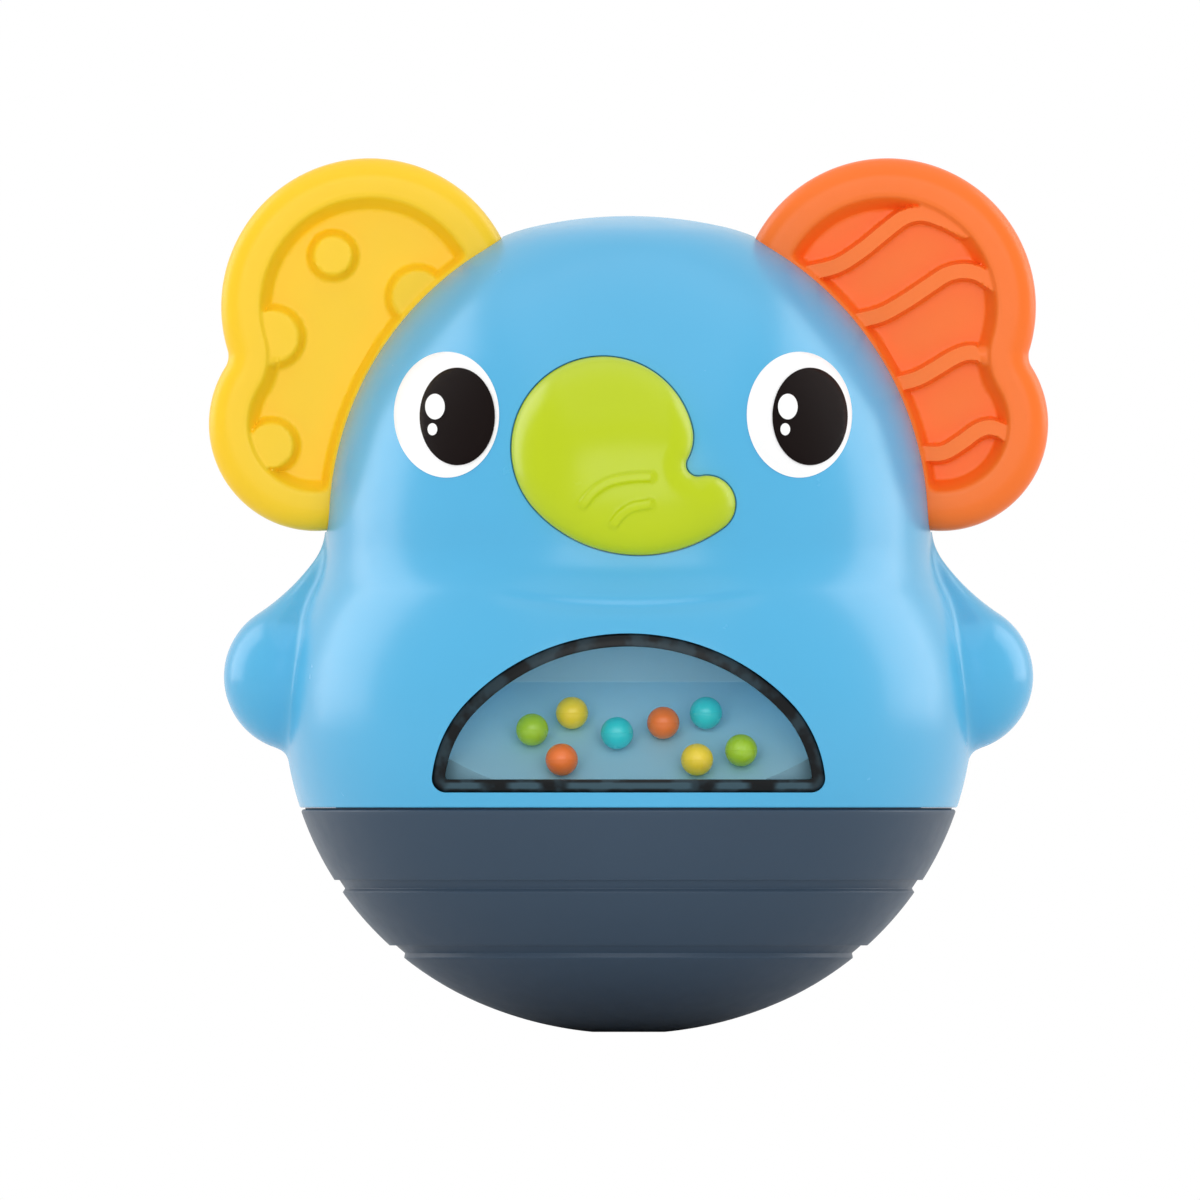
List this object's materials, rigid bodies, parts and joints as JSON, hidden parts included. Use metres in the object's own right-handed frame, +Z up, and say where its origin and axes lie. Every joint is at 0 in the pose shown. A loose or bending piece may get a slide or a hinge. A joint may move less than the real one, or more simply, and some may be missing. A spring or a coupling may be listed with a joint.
{
  "type": "roly poly toy",
  "caption": "Elephant-shaped roly poly toy that rights itself on a weighted round base, with separate ears and trunk and a clear belly window over loose beads.",
  "frame": {"origin": "middle of the small flat foot, on the floor", "axes": "+Z up, the face looks along -Y, the orange ear is on +X and the yellow ear on -X"},
  "size_m": [0.098, 0.0802, 0.102],
  "materials": {
    "body_blue": "satin moulded",
    "base_navy": "satin moulded",
    "weight_iron": "turned",
    "cover_dark": "moulded",
    "ear_yellow": "satin moulded",
    "ear_orange": "satin moulded",
    "trunk_lime": "gloss moulded",
    "bezel_smoke": "gloss moulded",
    "lens_clear": "clear plastic",
    "tray_blue": "moulded",
    "bead_green": "gloss moulded",
    "bead_yellow": "gloss moulded",
    "bead_orange": "gloss moulded",
    "bead_turquoise": "gloss moulded",
    "screw_steel": "zinc plated",
    "print_white": "pad print",
    "print_black": "pad print"
  },
  "bodies": {
    "toy": {"front_shell": "body_blue", "rear_shell": "body_blue", "base_bowl": "base_navy", "counterweight": "weight_iron", "weight_cover": "cover_dark", "left_ear": "ear_yellow", "right_ear": "ear_orange", "trunk": "trunk_lime", "window_bezel": "bezel_smoke", "window_lens": "lens_clear", "bead_tray": "tray_blue", "shell_screws": "screw_steel", "trunk_screws": "screw_steel", "tray_screws": "screw_steel", "cover_screws": "screw_steel", "eye_whites": "print_white", "eye_pupils": "print_black", "eye_glints": "print_white"},
    "green_left": {"bead_green_left": "bead_green"},
    "yellow_left": {"bead_yellow_left": "bead_yellow"},
    "orange_left": {"bead_orange_left": "bead_orange"},
    "turquoise_left": {"bead_turquoise_left": "bead_turquoise"},
    "orange_right": {"bead_orange_right": "bead_orange"},
    "turquoise_right": {"bead_turquoise_right": "bead_turquoise"},
    "yellow_right": {"bead_yellow_right": "bead_yellow"},
    "green_right": {"bead_green_right": "bead_green"}
  },
  "joints": [
    {"name": "green_left_roll", "type": "slide", "parent": "toy", "child": "green_left", "axis": [0, 0.7071, 0.7071], "range_m": [-0.0013, 0.005]},
    {"name": "yellow_left_roll", "type": "slide", "parent": "toy", "child": "yellow_left", "axis": [0, 0.7071, 0.7071], "range_m": [-0.002, 0.004]},
    {"name": "orange_left_roll", "type": "slide", "parent": "toy", "child": "orange_left", "axis": [0, 0.7071, 0.7071], "range_m": [-0.0004, 0.0017]},
    {"name": "turquoise_left_roll", "type": "slide", "parent": "toy", "child": "turquoise_left", "axis": [0, 0.7071, 0.7071], "range_m": [-0.0049, 0.0086]},
    {"name": "orange_right_roll", "type": "slide", "parent": "toy", "child": "orange_right", "axis": [0, 0.7071, 0.7071], "range_m": [-0.003, 0.0065]},
    {"name": "turquoise_right_roll", "type": "slide", "parent": "toy", "child": "turquoise_right", "axis": [0, 0.7071, 0.7071], "range_m": [-0.002, 0.003]},
    {"name": "yellow_right_roll", "type": "slide", "parent": "toy", "child": "yellow_right", "axis": [0, 0.7071, 0.7071], "range_m": [-0.0004, 0.0017]},
    {"name": "green_right_roll", "type": "slide", "parent": "toy", "child": "green_right", "axis": [0, 0.7071, 0.7071], "range_m": [-0.0002, 0.005]}
  ]
}
